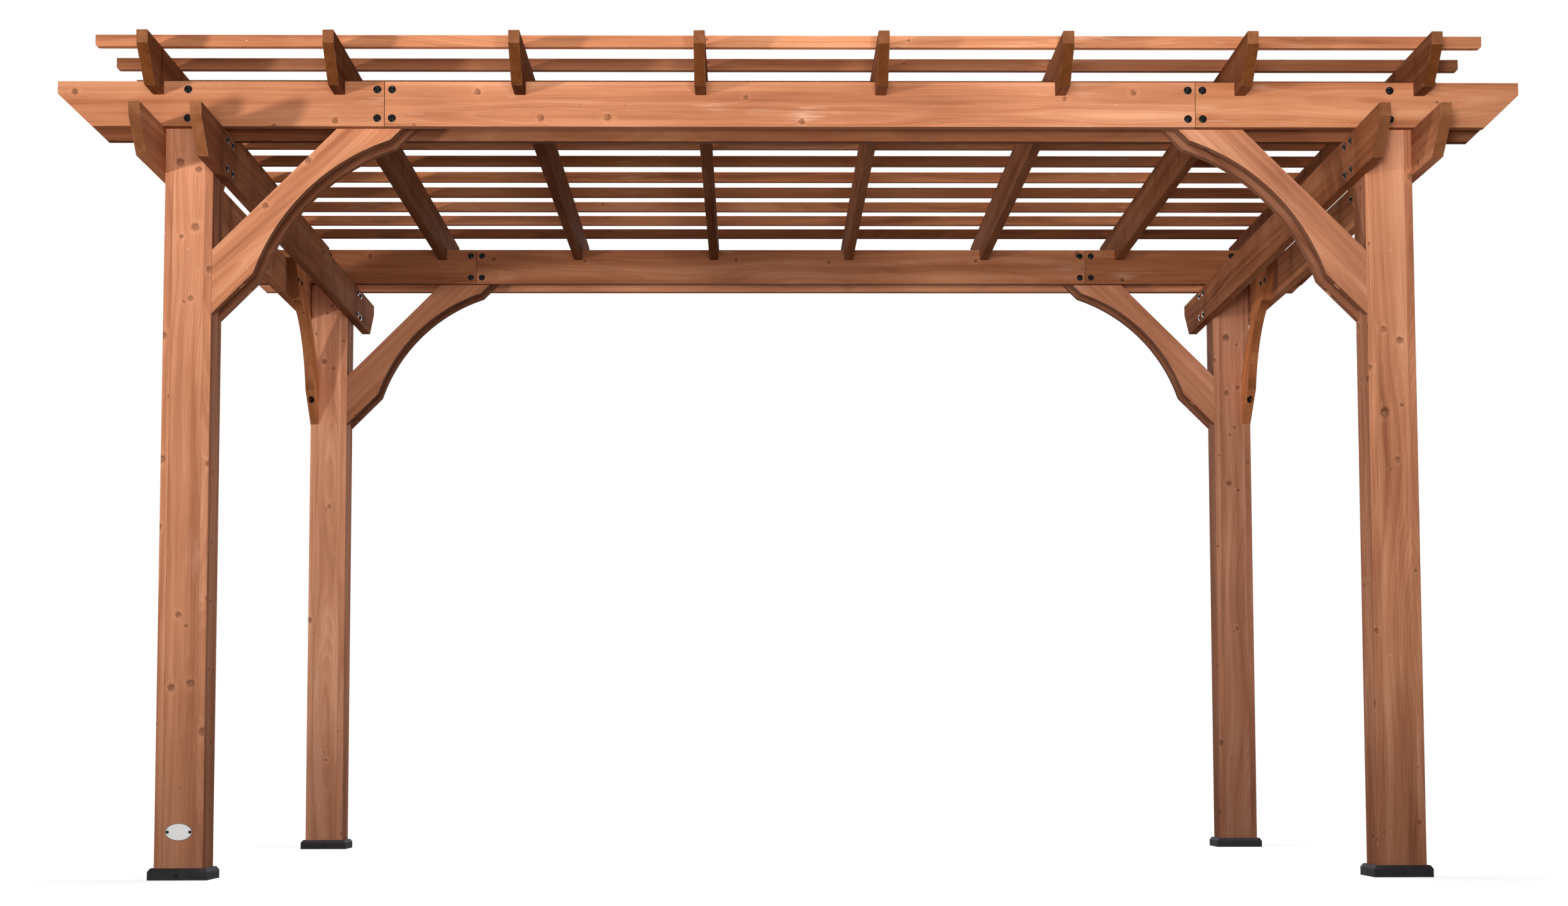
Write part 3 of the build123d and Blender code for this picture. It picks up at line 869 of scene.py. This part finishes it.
lamps = {
    "frontRight": {"place": (0.55, -5.6, 1.35), "aim": (1.5, -1.3, 3.9),
                   "size": 0.35, "spread": 95, "power": 30, "color": (1.0, 0.985, 0.97)},
    "frontLeft": {"place": (-5.0, -5.5, 1.0), "aim": (-1.2, -1.3, 3.9),
                  "size": 0.4, "spread": 90, "power": 66, "color": (1.0, 0.985, 0.97)},
    "frontFill": {"place": (-0.6, -8.8, 1.4), "aim": (-0.2, -1.3, 3.5),
                  "size": 2.6, "spread": 90, "power": 101, "color": (1.0, 0.99, 0.99)},
    "sideLeft": {"place": (-8.0, 0.8, 2.3), "aim": (-1.8, 0.0, 1.5),
                 "size": 2.5, "spread": 180, "power": 185, "color": (0.98, 0.98, 1.0)},
    "sideRight": {"place": (8.0, 0.8, 2.3), "aim": (1.8, 0.0, 1.5),
                  "size": 2.5, "spread": 180, "power": 185, "color": (0.98, 0.98, 1.0)},
    "back": {"place": (0.0, 7.4, 2.35), "aim": (0, 1.2, 1.5),
             "size": 1.8, "spread": 180, "power": 170, "color": (0.98, 0.98, 1.0)},
    "top": {"place": (0.0, 0.2, 15.0), "aim": (0, 0.1, 2.4),
            "size": 2.5, "spread": 60, "power": 230, "color": (0.99, 0.99, 1.0)},
}


def makeLamps():
    for name, lamp in lamps.items():
        light = bpy.data.lights.new(name, "AREA")
        light.size = lamp["size"]
        light.spread = math.radians(lamp["spread"])
        light.energy = lamp["power"]
        light.color = lamp["color"]
        holder = bpy.data.objects.new(name, light)
        holder.location = lamp["place"]
        direction = Vector(lamp["aim"]) - Vector(lamp["place"])
        holder.rotation_euler = direction.to_track_quat("-Z", "Y").to_euler()
        bpy.context.scene.collection.objects.link(holder)


cameraLook = {
    "place": (-0.1123, -8.4958, 0.3482), "turn": (94.3683, 0.1169, -0.7087),
    "lens": 57.3565, "shiftY": 0.072, "clipEnd": 200,
}


def makeCamera():
    lens = bpy.data.cameras.new("view")
    lens.lens = cameraLook["lens"]
    lens.shift_y = cameraLook["shiftY"]
    lens.clip_end = cameraLook["clipEnd"]
    camera = bpy.data.objects.new("view", lens)
    camera.location = cameraLook["place"]
    camera.rotation_euler = [math.radians(angle) for angle in cameraLook["turn"]]
    bpy.context.scene.collection.objects.link(camera)
    bpy.context.scene.camera = camera


makeFloor()
makeWorld()
makeLamps()
makeCamera()
bpy.context.scene.view_settings.view_transform = "Standard"
print("stage, lamps and camera set")
